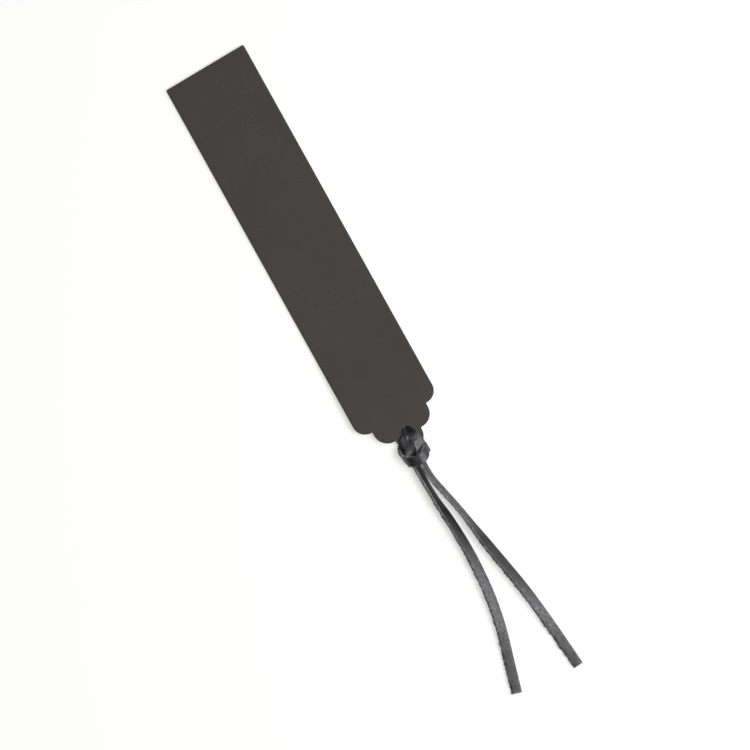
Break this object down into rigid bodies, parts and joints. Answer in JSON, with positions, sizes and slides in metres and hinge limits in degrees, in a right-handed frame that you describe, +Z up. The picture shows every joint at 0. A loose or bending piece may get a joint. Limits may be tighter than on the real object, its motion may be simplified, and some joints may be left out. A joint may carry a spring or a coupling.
{
  "type": "bookmark",
  "caption": "Flat leather bookmark: a long strip with a scalloped end and a punched tab, from which a flat leather lace hangs by a cow hitch with loose tails.",
  "frame": {"origin": "on the surface the bookmark lies on, under the middle of the strip", "axes": "+X along the strip towards the lace, +Z up out of the strip's front face"},
  "size_m": [0.2991, 0.038, 0.008],
  "materials": {
    "strip_leather": "matt fine grain, dark charcoal brown",
    "lace_leather": "soft satin, black-grey with fibrous cut edges"
  },
  "bodies": {
    "strip": {"leather_strip": "strip_leather", "lace_hitch": "lace_leather"},
    "right_root": {"right_tail_upper": "lace_leather"},
    "right_end": {"right_tail_lower": "lace_leather"},
    "left_root": {"left_tail_upper": "lace_leather"},
    "left_end": {"left_tail_lower": "lace_leather"}
  },
  "joints": [
    {"name": "right_swing", "type": "hinge", "parent": "strip", "child": "right_root", "pos_m": [0.09969, -0.00055, 0.0024], "axis": [0, 0, 1], "range_deg": [0, 45]},
    {"name": "right_lift", "type": "hinge", "parent": "right_root", "child": "right_end", "pos_m": [0.14819, 0.00768, 0.00175], "axis": [0.1809, -0.9835, 0], "range_deg": [0, 120]},
    {"name": "left_swing", "type": "hinge", "parent": "strip", "child": "left_root", "pos_m": [0.09969, -0.00365, 0.0024], "axis": [0, 0, -1], "range_deg": [0, 45]},
    {"name": "left_lift", "type": "hinge", "parent": "left_root", "child": "left_end", "pos_m": [0.14739, -0.0019, 0.00175], "axis": [-0.04, -0.9992, 0], "range_deg": [0, 120]}
  ]
}
